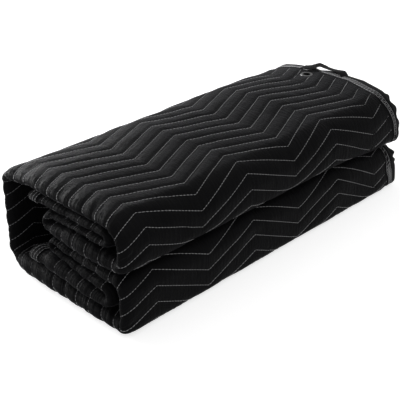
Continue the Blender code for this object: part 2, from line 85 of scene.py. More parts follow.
# ---- what only the looks need: the form of the cloth ----
ROUND_OVER = 0.026  # from the tip of the round fold, the layer swells to its full height over this length
ROUND_POWER = 2.7  # 2 would swell it as an ellipse does, more makes it squarer
TIP_WANDER = 0.0022  # how far the tips of the round folds stray
FAR_START, FAR_REACH = 0.46, 0.22  # where the folds sag or lift towards the bound edges
FLOOR_REACH = 0.030  # the sag fades out over this height above the floor
EDGE_LIFT, EDGE_LIFT_START, EDGE_LIFT_REACH = 0.0034, 0.648, 0.036  # the bound edge over the hollow curls up
EDGE_LIFT_FRONT = 0.003, 0.034  # how far past run_1_over_run_2 it starts, and over what length it grows
EDGE_LIFT_BACK = 0.014, 0.030  # how far past back_top it ends, and over what length it dies out
TROUGH = 0.0013  # depth of a sewn channel on the exposed faces
LEAST_TROUGH = 0.0008  # and on every other face, so that the thread lies in it
CHANNEL_POWER = 2.4  # the higher, the narrower the channels and the rounder the padding between them
END_REACH = 0.06  # from the round folds' tips, the cloth is dented over this length
END_TROUGH = 0.0003  # how much deeper its channels are there
DENT = 0.0024  # and its deepest pucker
GATHER_REACH = 0.030  # fine gathers run this far from the tip of a round fold
BROAD_WAVES, SMALL_PUCKERS = 0.0011, 0.0005  # heights of the unevenness of the padding
PINCH_REACH = 0.016  # over this length round the grommet the padding comes back to full thickness
SCALLOP, SCALLOP_REACH, SCALLOP_BEFORE = 0.007, 0.024, 0.008  # the loop draws the bound edge in there
EDGE_WANDER, INNER_WANDER = 0.0016, 0.0034  # how far the bound edges stray, and the inner one besides
TAPE_PUCKERS = 0.00035  # in the end bindings' faces
LOBE, LOBE_PITCH = 0.0030, 0.026  # the inner sheet's bound edge is drawn into lobes

# ---- stitches ----
STITCH_LENGTH, STITCH_GAP = 0.0050, 0.0006
STITCHES = STITCH_LENGTH + STITCH_GAP  # from one stitch to the next
THREAD_WIDTH, THREAD_HIGH = 0.0012, 0.0007
ENDS_SUNK = 0.3  # from 0 to 1: the more, the more stitches are out of sight on the folds' ends
ENDS_SEWN = 0.080  # where only a layer's ends show, its lines are sewn this far in
HEM_CLEAR = 0.006  # between a side binding's inner lip and the nearest quilting line
ZIGZAG_STEP = 0.0030  # the stitching of a bound edge: between its corners along the edge
ZIGZAG_ROWS = 10.0 * MM, 18.8 * MM  # and its corners' two distances from the edge
EDGE_THREAD_WIDTH, EDGE_THREAD_HIGH = 0.0010, 0.0006
SIDE_ROWS = 4 * MM, 10.5 * MM, 17 * MM  # rows of stitches on a side binding, from its edge

# ---- how finely the meshes are divided ----
GRID_STEP = ZIGZAG_HALF / 15  # between the outer sheet's columns of points
OUTER_GRID = [ZIGZAG_HIGH + GRID_STEP * step for step in range(-7, 75)]
INNER_COLUMNS = 38  # pieces of the inner sheet's face
LEAST_COLUMN = 0.0004  # the outer sheet's columns lie at least this far apart
FILL = 3  # columns between the grid and what lies either side of it
NOSE_ANGLES = [90 - 180 * step / 13 for step in range(1, 13)]  # of the round fold's points, outside it
INNER_NOSE_ANGLES = [-60, -20, 20, 60]  # and inside it
SLOT_COLUMNS = [0.040, FOLD_REACH, 0.200, 0.400, 0.560]
SLOT_GROMMET_COLUMNS = [GROMMET_X - 0.030 + 0.006 * step for step in range(5)]
EDGE_COLUMNS = [SEWN_EDGE + 0.5 * MM, 13 * MM, 6 * MM, 0.0]  # back from the bound edge
SIDE_ARMS = [BINDING_WIDTH + 2 * GAP, 2 * BINDING_WIDTH]  # a side binding's rings, back from the bound edge
SIDE_ARMS += [0.05 + 0.0565 * step for step in range(11)] + [LENGTH]
FACE_STEP = 0.001  # between the places where the outer sheet's face is measured
FINE_STEPS = 10  # stations to a stitch pitch where the quilting shows
CLOSEST_STATIONS, WIDEST_STATIONS = 0.0008, 0.0056  # along the path
GROMMET_STEPS, HOLE_SEGMENTS = 56, 32
LOOP_STEPS = 6  # to each stretch of the loop's route

# One row for each corner of the fold path, in millimetres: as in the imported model, but for a few that were
# fitted to the photograph more closely, and the last column, the rise of the far end.
#   y, z, radius: the corner inside the stack; shift_y, shift_z: how far it lies aside at the -X end
#   layer, nose: thickness of both sheets inside the stack and at the round fold
#   out: how far the round fold stands out; short_outer, short_inner: how far the bound edges stop short
#   zigzag, slide, slant: the quilting lines' share of their swing, their shift along X and their slope
#   relief: the share of the padding's relief that shows
Corner = namedtuple(
    "Corner",
    "name y z radius shift_y shift_z layer nose out short_outer short_inner zigzag slide slant relief far",
)
FOLDS = [Corner(*row) for row in (
    ("run_2_edge", 62, 151.5, 0, 0, 5.5, 20.8, 18.5, 2, 2, 6, 0, 0, 0, 0, 0),
    ("run_2_front", -109, 151.5, ROUND / MM, 0, 5.5, 20.8, 17.5, 0, 2, 6, 0, 0, 0, 0, 0),
    ("run_3_front", -109, 129.5, ROUND / MM, 0, 8.8, 20.8, 17.0, 0, 8, 4, 0, 0, 0, 0, 0),
    ("run_3_middle", -40, 129.5, 0, 0, 9.6, 20.8, 12.0, -1, 8, 2, 0, 0, 0, 0, 0),
    ("run_3_back", 33, 129.5, ROUND / MM, 0, 6.0, 20.8, 16.5, -1, 6, 2, 0, 0, 0, 0, 0),
    ("run_4_back", 33, 107.5, ROUND / MM, 0, 9.5, 20.8, 17.5, 2, 8, 0, 0, 0, 0, 0, 0),
    ("run_4_middle", -40, 107.5, 0, 0, 6.8, 20.8, 32.0, 7, 12, 0, 0.6, -20, 0, 0, -3),
    ("upper_fold_bottom", -138.5, 107.5, 13, 0, 2.5, 20.8, 23.0, 2, 9, -8, 1, -24, 20, 1, -14),
    ("upper_fold_top", -138.5, 173.0, 38, 0, 3.0, 20.8, 20.0, 2, 35, 17, 1, -24, 20, 1, 3.5),
    ("run_1_front", -60, 173.8, 0, 0, 2.7, 20.8, 20.0, 2, 12, 6, 1, -24, 20, 1, 4),
    ("run_1_middle", 10, 174.5, 200, 0, 2.5, 20.8, 20.0, 3, 10, 2, 1, -24, 20, 1, 1.5),
    ("run_1_over_run_2", 66, 173.5, 60, 0, 3.5, 20.8, 20.0, 3, 12, 5, 1, -24, 20, 1, -1),
    ("run_1_over_hollow", 100, 170.0, 80, 0, 1.0, 20.8, 20.0, 2, 15, 5, 1, -24, 20, 1, -4.5),
    ("back_top", 136, 164.0, 23, 0, 3.0, 20.8, 20.0, -2, 17, 8, 1, -24, 20, 1, -5),
    ("back_bottom", 137, 11.0, 28, -1.5, 3.0, 22.0, 24.0, -3, 6, 4, 1, -18, 0, 0.6, 0),
    ("run_8_back", 80, 11.0, 0, 0, 7.0, 22.0, 35.6, 6, 2, 2, 1, -16, 0, 0, 0),
    ("run_8_front", -40, 11.0, 0, 0, 4.0, 22.0, 30.0, 6, 0, 2, 1, -14, 0, 0, 0),
    ("lower_fold_bottom", -139.5, 10.8, 3, 0, 1.0, 22.0, 24.0, 4, 12, 4, 1, -12, -19, 0.3, 0),
    ("lower_fold_middle", -138.5, 48.0, 0, 0, 1.0, 22.0, 22.0, 2, 16, 2, 1, -12, -19, 1, -5),
    ("lower_fold_top", -138.5, 84.0, 17, 0, 1.0, 22.0, 21.0, 2, 26, 4, 1, -12, -19, 1, -14),
    ("run_5_middle", -40, 84.0, 0, 0, 3.5, 21.6, 15.0, 0, 14, 2, 0.6, -12, 0, 0, -3),
    ("run_5_back", 26, 84.0, ROUND / MM, 0, 11.0, 21.6, 12.6, 0, 10, 0, 0, 0, 0, 0, 0),
    ("run_6_back", 26, 59.5, ROUND / MM, 0, 19.9, 21.6, 12.6, 0, 8, 0, 0, 0, 0, 0, 0),
    ("run_6_middle", -40, 59.5, 0, 0, 10.0, 22.0, 17.5, 1, 6, 4, 0, 0, 0, 0, 0),
    ("run_6_front", -109, 59.5, ROUND / MM, 0, 3.5, 22.0, 22.0, 2, 4, 4, 0, 0, 0, 0, -7.5),
    ("run_7_front", -109, 35.0, ROUND / MM, 0, 2.0, 22.0, 21.5, 4, 4, 6, 0, 0, 0, 0, -3.5),
    ("run_7_middle", -40, 35.0, 0, 0, 10.0, 22.0, 26.0, 6, 4, 6, 0, 0, 0, 0, 0),
    ("run_7_back", 30, 35.0, 0, 0, 17.5, 22.0, 31.0, 6, 4, 6, 0, 0, 0, 0, 0),
    ("run_7_edge", 69, 35.0, 0, 0, 18.5, 22.0, 31.0, 6, 4, 6, 0, 0, 0, 0, 0),
)]

# Soft creases of the exposed cloth, in metres: from one point to another, each given by
# its distance from the round fold and its place along the fold path. A positive rise is a ridge.
Crease = namedtuple("Crease", "name x0 along0 x1 along1 width rise")
CREASES = [Crease(*row) for row in (
    ("near_end_lip", 0.030, 0.600, 0.036, 0.760, 0.020, 0.0005),
    ("near_end_dip", 0.060, 0.590, 0.066, 0.740, 0.026, -0.0007),
    ("front_corner_fold", 0.020, 0.560, 0.120, 0.535, 0.018, -0.0022),
    ("front_long_sag", 0.120, 0.572, 0.420, 0.560, 0.020, -0.0014),
    ("top_sag_across", 0.260, 0.640, 0.330, 0.800, 0.045, -0.0018),
    ("top_swell_far", 0.480, 0.660, 0.560, 0.780, 0.050, 0.0020),
    ("back_dip", 0.180, 0.850, 0.260, 0.930, 0.030, -0.0020),
    ("back_ridge", 0.420, 0.840, 0.500, 0.940, 0.035, 0.0018),
    ("lower_front_dip", 0.200, 1.240, 0.300, 1.285, 0.025, -0.0016),
    ("lower_front_ridge", 0.450, 1.235, 0.520, 1.290, 0.030, 0.0016),
)]

# Where the loop runs: along Y, up from its feet and past the bound edge in metres, and its roll in degrees.
LoopPoint = namedtuple("LoopPoint", "y rise shift roll")
LOOP_ROUTE = [LoopPoint(*row) for row in (
    (0.075, 0.0, 0.001, 0),
    (0.070, 0.0003, 0.001, 0),
    (0.063, 0.0014, 0.001, -3),
    (0.056, 0.0044, 0.002, -10),
    (0.048, 0.0076, 0.004, -18),
    (0.044, 0.0072, 0.006, -12),
    (0.039, 0.0050, 0.008, 4),
    (0.034, 0.0034, 0.009, 12),
    (0.026, 0.0012, 0.009, 15),
    (0.012, 0.0, 0.009, 14),
    (0.000, 0.0010, 0.009, 11),
    (-0.010, 0.0024, 0.008, 8),
    (-0.016, 0.0004, 0.006, 4),
    (-0.022, -0.0030, 0.003, 0),
)]
LOOP_COVER = 0.028, 0.060  # along Y, where the loop's sewn foot hides the zigzag

# ---- camera and lights, in metres and watts, the camera at the photograph's viewing angle ----
CAMERA_PLACE = Vector((-1.0595, -0.998, 0.830))
CAMERA_LOOKS = Vector((0.6274, 0.6153, -0.4772))
CAMERA_LENS, CAMERA_SENSOR = 85.0, 36.0
Light = namedtuple("Light", "name place looks_at size watts")
LIGHTS = [Light(*row) for row in (
    ("key_behind_left", (-0.7, 2.5, 0.75), (-0.1, 0.0, 0.15), (1.6, 0.7), 50.0),
    ("back_strip", (0.3, 2.6, 0.45), (-0.1, 0.1, 0.16), (1.8, 0.4), 36.0),
    ("near_end_fill", (-2.0, -1.4, 0.45), (-0.3, 0.05, 0.09), (1.2, 0.9), 2.3),
    ("top_softbox", (0.2, 0.4, 2.8), (0.0, 0.0, 0.0), (3.6, 3.6), 13.0),
)]
SKY_STRENGTH = 0.42
FLOOR_HALF, FLOOR_DROP, FLOOR_GLOW = 12.0, 0.0004, 0.70

Line = namedtuple("Line", "start end length")
Arc = namedtuple("Arc", "centre radius angle sweep length")


# ---- the fold path ----


def lerp(low, high, share):
    return low + (high - low) * share


def clamp(value, low=0.0, high=1.0):
    return min(max(value, low), high)


def smooth(share):
    share = clamp(share)
    return share * share * (3 - 2 * share)


def rough(*place):
    """Smooth noise, from -1 to 1, at a place in space."""
    return noise.noise(Vector(place))


def interpolate(at, places, values):
    """Straight-line interpolation in a rising list of places."""
    if at <= places[0]:
        return values[0]
    if at >= places[-1]:
        return values[-1]
    index = bisect.bisect_left(places, at)
    span = places[index] - places[index - 1]
    return lerp(values[index - 1], values[index], (at - places[index - 1]) / span if span > 0 else 1.0)


def rounded_path(points, radii):
    """Lines and arcs along a polyline whose corners are rounded, alternating, one arc to a corner."""
    segments = []
    cursor = points[0]
    for index in range(1, len(points) - 1):
        before, corner, after = points[index - 1], points[index], points[index + 1]
        reach_in, reach_out = (corner - before).length, (after - corner).length
        direction_in = (corner - before).normalized()
        direction_out = (after - corner).normalized()
        turn = direction_in.x * direction_out.y - direction_in.y * direction_out.x
        angle = math.atan2(turn, direction_in.dot(direction_out))
        half = math.tan(abs(angle) / 2.0)
        tangent = min(radii[index] * half, 0.499 * reach_in, 0.499 * reach_out)
        entry = corner - direction_in * tangent
        segments.append(Line(cursor, entry, (entry - cursor).length))
        radius = tangent / half if half > 1e-6 else 0.0
        side = Vector((-direction_in.y, direction_in.x)) * math.copysign(1.0, angle)
        centre = entry + side * radius
        start = math.atan2(entry.y - centre.y, entry.x - centre.x)
        segments.append(Arc(centre, radius, start, angle, radius * abs(angle)))
        cursor = corner + direction_out * tangent
    segments.append(Line(cursor, points[-1], (points[-1] - cursor).length))
    return segments


def on_segment(segment, share):
    """Point and direction of travel at a share of one segment."""
    if isinstance(segment, Line):
        point = segment.start.lerp(segment.end, share)
        return point, (segment.end - segment.start).normalized()
    angle = segment.angle + segment.sweep * share
    spoke = Vector((math.cos(angle), math.sin(angle)))
    travel = Vector((-spoke.y, spoke.x)) * math.copysign(1.0, segment.sweep)
    return segment.centre + spoke * segment.radius, travel


class FoldPath:
    """The folded pair of sheets in cross-section, inside the stack and at the -X end."""

    def __init__(self, rows):
        radii = [row.radius * MM for row in rows]
        inside = [Vector((row.y, row.z)) * MM for row in rows]
        at_end = [Vector((row.y + row.shift_y, row.z + row.shift_z)) * MM for row in rows]
        self.inside = rounded_path(inside, radii)
        self.at_end = rounded_path(at_end, radii)
        self.starts = [0.0]
        for segment in self.inside:
            self.starts.append(self.starts[-1] + segment.length)
        self.total = self.starts[-1]
        middles = [self.starts[i] + self.inside[i].length / 2 for i in range(1, len(self.inside), 2)]
        self.places = [0.0] + middles + [self.total]  # of the rows' corners, midway round their arcs
        self.rows = rows
        self.path_marks, self.face_marks = self.measure_face()
        self.line_start = self.face_length(self.top_at(STITCH_START_Y)[1])
        self.grommet = self.face_length(self.top_at(GROMMET_Y)[1])

    def measure_face(self):
        """Distances along the path, and along the outer sheet's face beside them."""
        count = round(self.total / FACE_STEP)
        path_marks = [self.total * step / count for step in range(count + 1)]
        face_marks = [0.0]
        spots = []
        for mark in path_marks:
            point, normal = self.frame(mark, 1.0)
            spots.append(point + normal * self.value("layer", mark) * MM / 2)
        for low, high in zip(spots, spots[1:]):
            face_marks.append(face_marks[-1] + (high - low).length)
        return path_marks, face_marks

    def face_length(self, along):
        return interpolate(along, self.path_marks, self.face_marks)

    def shifted(self, along, shift):
        """The place on the path that lies a shift further along the outer sheet's face."""
        if shift == 0.0:
            return along
        return interpolate(self.face_length(along) + shift, self.face_marks, self.path_marks)

    def value(self, name, along):
        return interpolate(along, self.places, [getattr(row, name) for row in self.rows])

    def measure(self, name, along):
        """A value of the table that is a length, in metres."""
        return self.value(name, along) * MM

    def place_of(self, name):
        return self.places[[row.name for row in self.rows].index(name)]

    def frame(self, along, inward):
        """Point, and normal towards the outer sheet; inward is 0 at the -X end and 1 inside the stack."""
        along = min(max(along, 0.0), self.total)
        index = 0
        while index < len(self.inside) - 1 and along > self.starts[index + 1]:
            index += 1
        length = self.inside[index].length
        share = (along - self.starts[index]) / length if length > 1e-9 else 0.5
        point_end, travel_end = on_segment(self.at_end[index], share)
        point_in, travel_in = on_segment(self.inside[index], share)
        point = point_end.lerp(point_in, inward)
        travel = travel_end.lerp(travel_in, inward).normalized()
        return point, Vector((-travel.y, travel.x))

    def top_at(self, y):
        """Height of the middle of the outer sheet on the top run at a place across the width, and the
        place along the path."""
        low, high = self.place_of("upper_fold_top"), self.place_of("back_top")
        for _ in range(40):
            middle = (low + high) / 2
            if self.frame(middle, 1.0)[0].x < y:
                low = middle
            else:
                high = middle
        point, _ = self.frame(low, 1.0)
        return point.y + (self.measure("layer", low) / 2 + SLOT / 2) / 2, low


def zigzag(distance):
    """The zigzag's shift across the width, at a distance along the cloth from the round fold."""
    phase = ((distance - ZIGZAG_HIGH) / (2 * ZIGZAG_HALF)) % 1.0
    return ZIGZAG_SWING * (abs(4 * phase - 2) - 1)


def edge_lift(path, along):
    """How far the bound edge over the hollow curls up, by its place along the path."""
    first, last = path.place_of("run_1_over_run_2"), path.place_of("back_top")
    grown = smooth((along - first - EDGE_LIFT_FRONT[0]) / EDGE_LIFT_FRONT[1])
    return EDGE_LIFT * grown * smooth((last + EDGE_LIFT_BACK[0] - along) / EDGE_LIFT_BACK[1])


def crease_rise(x, along):
    """Height of the listed creases at a point of the outer sheet."""
    rise = 0.0
    for crease in CREASES:
        start = Vector((crease.x0, crease.along0))
        run = Vector((crease.x1, crease.along1)) - start
        offset = Vector((x, along)) - start
        share = clamp(offset.dot(run) / run.length_squared)
        away = (offset - run * share).length / crease.width
        if away < 1.0:
            rise += crease.rise * (1 - away * away) ** 2
    return rise


def unevenness(x, along):
    """Broad, slow waves of the padding, and small puckers that the stitches draw in."""
    broad = rough(x * 9.0, along * 13.0, 2.7)
    pucker = rough(x * 75.0, along * 24.0, 9.1)
    return BROAD_WAVES * broad + SMALL_PUCKERS * pucker


def edge_wave(along, side):
    """The bound edge wanders a little, and the inner sheet's, which nothing holds, much more."""
    slow = EDGE_WANDER * rough(along * 22.0, 4.0 * side, 0.6)
    if side > 0:
        return slow
    stray = INNER_WANDER * rough(along * 40.0, 0.0, 3.3)
    return slow + stray + LOBE * math.sin(2 * math.pi * along / LOBE_PITCH)


class Section:
    """One ring of the folded pair: a U of two sheets, closed at -X, at one station of the path.

    A seam distance runs along the outward face of the cloth: from the tip of the round fold, positive on
    the outer sheet and negative on the inner one. x is the distance from the mean fold, on either sheet.
    """

    def __init__(self, path, along):
        def measure(name):
            return path.measure(name, along)

        self.path, self.along, self.total = path, along, path.total
        self.tip = -measure("out") + TIP_WANDER * rough(along * 31.0, 1.7, 8.2)
        self.nose, self.layer = measure("nose"), measure("layer")
        self.nose_depth = NOSE_DEPTH * self.nose
        self.start = self.tip + self.nose_depth
        self.turn = math.pi / 4 * (self.nose_depth + self.nose / 2)
        self.end = {
            1: LENGTH - measure("short_outer") + edge_wave(along, 1),
            -1: LENGTH - measure("short_inner") + edge_wave(along, -1),
        }
        self.face_place = path.face_length(along)
        away = abs(self.face_place - path.grommet + SCALLOP_BEFORE)
        self.end[1] -= SCALLOP * (1 - smooth(away / SCALLOP_REACH))
        self.share, self.relief = path.value("zigzag", along), path.value("relief", along)
        self.slide, self.slant = measure("slide"), measure("slant")
        self.far_rise = measure("far")
        self.edge_rise = edge_lift(path, along)
        phase = ((self.face_place - path.line_start) / STITCH_PITCH) % 1.0
        self.channel = (0.5 + 0.5 * math.cos(2 * math.pi * phase)) ** CHANNEL_POWER

    def swelling(self, x):
        """The share of the layer's height that the round fold has reached at x."""
        return math.sqrt(1 - clamp((self.tip + ROUND_OVER - x) / ROUND_OVER) ** ROUND_POWER)

    def half_layer(self, x):
        """Half the thickness of the pair of sheets."""
        return lerp(self.nose, self.layer, smooth(x / FOLD_REACH)) / 2 * self.swelling(x)

    def inset(self, x, end):
        """How far a point lies from the nearest edge of the sheet."""
        return min(self.along, self.total - self.along, end - x)

    def half_sheet(self, x, end):
        """Half the thickness of one sheet, thinner towards its side edge and under its binding."""
        full = (self.half_layer(x) - SLOT / 2) / 2
        puffed = clamp((self.inset(x, end) - BINDING_WIDTH) / BINDING_WIDTH)
        return lerp(min(EDGE_SHEET / 2, full), full, puffed)

    def spread(self, x):
        """From the middle of the pair to the middle of one sheet."""
        return (self.half_layer(x) + SLOT / 2) / 2

    def seam_distance(self, x, side):
        return side * (x - self.start + self.turn)

    def sway(self, distance):
        """How far the zigzag and its slant move the outward face along the path, at a seam distance.
        Under the binding the move dies out."""
        side = 1 if distance > 0 else -1
        x = distance - self.turn + self.start
        share = clamp((self.seam_distance(self.end[side], 1) - abs(distance)) / SEWN_EDGE)
        return share * (self.share * zigzag(x - self.slide) + self.slant * max(x, 0.0) / LENGTH)

    def to_space(self, x, offset, sway=0.0, shape_at=None):
        """The point at x that lies an offset from the middle of the pair, towards its outer sheet. The fold
        path is taken at shape_at, or at x itself."""
        at = x if shape_at is None else shape_at
        point, normal = self.path.frame(self.path.shifted(self.along, sway), smooth(at / FOLD_REACH))
        flat = point + normal * offset
        rise = self.far_rise * smooth((x - FAR_START) / FAR_REACH) * smooth(flat.y / FLOOR_REACH)
        rise += self.edge_rise * smooth((x - EDGE_LIFT_START) / EDGE_LIFT_REACH)
        return Vector((x - LENGTH / 2, flat.x, flat.y + rise))

    def squeezed(self, half, x, side, sway):
        """Half the thickness of a sheet, with the outer one squeezed where its flanges grip it."""
        if side < 0:
            return half
        away = math.hypot(x - GROMMET_X, self.face_place + sway - self.path.grommet)
        pinch = 1 - smooth((away - GROMMET_OUTER / 2 - MM) / PINCH_REACH)
        return lerp(half, min(half, GROMMET_GRIP / 2 - GAP), pinch)

    def sewn(self, x, side):
        """How far the face lies below its full height at x: sewn channel, creases and waves."""
        puffed = clamp((self.inset(x, self.end[side]) - BINDING_WIDTH) / (0.5 * BINDING_WIDTH))
        near_nose = 1 - smooth((x - self.start) / END_REACH)
        dent = DENT * near_nose * max(rough(x * 30.0 * side, self.along * 150.0, 5.5), 0.0)
        dent += END_TROUGH * near_nose * self.channel
        if side < 0:
            return (LEAST_TROUGH * self.channel + dent) * puffed
        bumps = crease_rise(x, self.along) + unevenness(x, self.along)
        depth = max(TROUGH * self.relief, LEAST_TROUGH) * self.channel
        return (depth + dent - bumps * self.relief) * puffed

    def face(self, x, side, lift=0.0):
        """A point on the face of a sheet that points away from the slot."""
        sway = self.sway(self.seam_distance(x, side))
        half = self.squeezed(self.half_sheet(x, self.end[side]) - self.sewn(x, side), x, side, sway)
        return self.to_space(x, side * (self.spread(x) + half + lift), sway)

    def slot_face(self, x, side):
        """A point on the face of a sheet that points to the other sheet."""
        half = self.squeezed(self.half_sheet(x, self.end[side]), x, side, 0.0)
        return self.to_space(x, side * (self.spread(x) - half))

    def nose_point(self, angle, surface, lift=0.0):
        """A point of the round fold, at an angle from 90 degrees (outer sheet) to -90 (inner)."""
        thick = self.half_sheet(self.start, LENGTH)
        sunk = 0.0
        if surface > 0:
            sunk = lerp(self.sewn(self.start, -1), self.sewn(self.start, 1), (angle + 90) / 180)
        rise = self.spread(self.start) + surface * (thick + lift) - sunk
        depth = self.nose_depth - (1 - surface) * thick + surface * lift - sunk
        turn = math.radians(angle)
        if surface > 0:
            swollen = self.swelling(self.start - self.nose_depth * math.cos(turn)) / self.swelling(self.start)
            offset = math.copysign(rise * swollen, angle)
            sway = self.sway(self.turn * angle / 90)
        else:
            offset, sway = rise * math.sin(turn), 0.0
        return self.to_space(self.start - depth * math.cos(turn), offset, sway, shape_at=self.start)

    def on_cloth(self, distance, lift=0.0):
        """The point of the outward face at a seam distance."""
        if abs(distance) > self.turn:
            return self.face(abs(distance) - self.turn + self.start, 1 if distance > 0 else -1, lift)
        return self.nose_point(90 * distance / self.turn, 1, lift)


# ---- meshes ----


def spaced(first, last, pieces):
    """Even places from first to last, without the two themselves."""
    return [lerp(first, last, piece / pieces) for piece in range(1, pieces)]


def outer_columns(section):
    """Places along X where the outer sheet's face has its points, every corner of the zigzag among them."""
    grid = [section.slide + column for column in OUTER_GRID]
    edge = [section.end[1] - back for back in EDGE_COLUMNS]
    near = spaced(section.start, grid[0], FILL)
    columns = [section.start] + near + grid + spaced(grid[-1], edge[0], FILL) + edge
    for index in range(1, len(columns)):  # a grid that starts beyond the round fold is drawn in to it
        columns[index] = max(columns[index], columns[index - 1] + LEAST_COLUMN)
    return columns


def slot_columns(section, end):
    """Places along X where a sheet's face on the slot has its points."""
    return [section.start] + SLOT_COLUMNS + SLOT_GROMMET_COLUMNS + [end - back for back in EDGE_COLUMNS]


def panel_ring(section):
    """The closed outline of the folded pair at one station, with each point's seam distance."""
    outer, inner = section.end[1], section.end[-1]

    def on_side(columns, face, side):
        return [(face(x, side), section.seam_distance(x, side)) for x in columns]

    def round_fold(angles, surface):
        return [(section.nose_point(angle, surface), section.turn * angle / 90) for angle in angles]

    inner_edge = [inner - back for back in EDGE_COLUMNS]
    inner_columns = [section.start] + spaced(section.start, inner_edge[0], INNER_COLUMNS) + inner_edge
    return (
        on_side(reversed(outer_columns(section)), section.face, 1)
        + round_fold(NOSE_ANGLES, 1)
        + on_side(inner_columns, section.face, -1)
        + on_side(reversed(slot_columns(section, inner)), section.slot_face, -1)
        + round_fold(INNER_NOSE_ANGLES, -1)
        + on_side(slot_columns(section, outer), section.slot_face, 1)
    )


def stations(path):
    """Distances along the path: closest where quilting shows, and close everywhere, for the folds' ends."""
    step = STITCH_PITCH / FINE_STEPS
    margin = ZIGZAG_SWING + STITCH_PITCH / 2
    spans = [
        (path.face_length(path.place_of(first)) - margin, path.face_length(path.place_of(last)) + margin)
        for first, last in (("upper_fold_bottom", "back_bottom"), ("lower_fold_bottom", "lower_fold_top"))
    ]
    skip = FINE_STEPS // 2
    face_total = path.face_marks[-1]
    marks = [0.0]
    line_start = path.line_start
    for index in range(math.ceil(-line_start / step), math.floor((face_total - line_start) / step) + 1):
        at = line_start + index * step
        if any(low <= at <= high for low, high in spans) or index % skip in (0, skip // 2):
            mark = interpolate(at, path.face_marks, path.path_marks)
            if mark - marks[-1] > CLOSEST_STATIONS and mark < path.total - CLOSEST_STATIONS:
                marks.append(mark)
    marks.append(path.total)
    return filled(marks, WIDEST_STATIONS)


def filled(marks, widest):
    """The marks, with more between any two that lie further apart than the widest."""
    result = [marks[0]]
    for mark in marks[1:]:
        pieces = math.ceil((mark - result[-1]) / widest)
        start = result[-1]
        for piece in range(1, pieces + 1):
            result.append(lerp(start, mark, piece / pieces))
    return result


def bridge(work, low, high):
    """Quads between two rings of as many points."""
    for index in range(len(low)):
        after = (index + 1) % len(low)
        work.faces.new((low[index], low[after], high[after], high[index]))


def fill_between(work, first, second):
    """Triangles between two chains of points that run side by side, shortest crossing first."""
    i, j = 0, 0
    while i < len(first) - 1 or j < len(second) - 1:
        step_first = i < len(first) - 1
        if step_first and j < len(second) - 1:
            across_first = (first[i + 1].co - second[j].co).length
            across_second = (first[i].co - second[j + 1].co).length
            step_first = across_first <= across_second
        if step_first:
            work.faces.new((first[i], first[i + 1], second[j]))
            i += 1
        else:
            work.faces.new((first[i], second[j + 1], second[j]))
            j += 1


def middle_of_grommet():
    low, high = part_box("grommet")
    return (Vector(low) + Vector(high)) / 2


def new_object(name, data):
    made = bpy.data.objects.new(name, data)
    bpy.context.scene.collection.objects.link(made)
    return made


def new_mesh(name, work):
    """An object of a finished bmesh."""
    mesh = bpy.data.meshes.new(name)
    work.to_mesh(mesh)
    work.free()
    return new_object(name, mesh)


def new_piece(name, work, material, smooth_shaded=True):
    """An object of a finished bmesh, with its material."""
    piece = new_mesh(name, work)
    piece.data.materials.append(material)
    if smooth_shaded:
        piece.data.shade_smooth()
    return piece


def loft(rings, split=None, places=None):
    """A closed bmesh through rings of equally many points. Its ends are filled between the ring's points
    up to split and the rest. places holds a (u, v) in metres of cloth for each point, for the weave."""
    work = bmesh.new()
    loops = [[work.verts.new(point) for point in ring] for ring in rings]
    for low, high in zip(loops, loops[1:]):
        bridge(work, low, high)
    half = split or len(rings[0]) // 2
    for loop in (loops[0], loops[-1]):
        fill_between(work, loop[:half], loop[: half - 1 : -1])
    bmesh.ops.recalc_face_normals(work, faces=work.faces[:])
    if places:
        layer = work.loops.layers.uv.new("cloth_metres")
        place_of = {}
        for loop, row in zip(loops, places):
            for vertex, place in zip(loop, row):
                place_of[vertex] = place
        for face in work.faces:
            for corner in face.loops:
                corner[layer].uv = place_of[corner.vert]
    return work


def make_cloth(path, marks, material):
    """Both sheets and the round fold between them, as one closed piece."""
    rings, places = [], []
    for mark in marks:
        section = Section(path, mark)
        ring = panel_ring(section)
        rings.append([point for point, _ in ring])
        places.append([(distance, mark) for _, distance in ring])
    slot_points = 2 * (1 + len(SLOT_COLUMNS) + len(SLOT_GROMMET_COLUMNS) + len(EDGE_COLUMNS))
    outside = len(rings[0]) - len(INNER_NOSE_ANGLES) - slot_points
    cloth = new_piece("quilted_cloth", loft(rings, outside, places), material)
    punch_hole(cloth)
    return cloth


def punch_hole(cloth):
    """Cuts the grommet's hole through the top sheet."""
    work = bmesh.new()
    bmesh.ops.create_cone(
        work, cap_ends=True, segments=HOLE_SEGMENTS, depth=2.2 * GROMMET_GRIP,
        radius1=GROMMET_BARREL + GAP, radius2=GROMMET_BARREL + GAP,
        matrix=Matrix.Translation(middle_of_grommet()),
    )
    cutter = new_mesh("hole_cutter", work)
    cut = cloth.modifiers.new("hole", "BOOLEAN")
    cut.operation, cut.solver, cut.object = "DIFFERENCE", "EXACT", cutter
    evaluated = cloth.evaluated_get(bpy.context.evaluated_depsgraph_get())
    holed = bpy.data.meshes.new_from_object(evaluated)
    cloth.modifiers.clear()
    cloth.data = holed
    bpy.data.objects.remove(cutter, do_unlink=True)


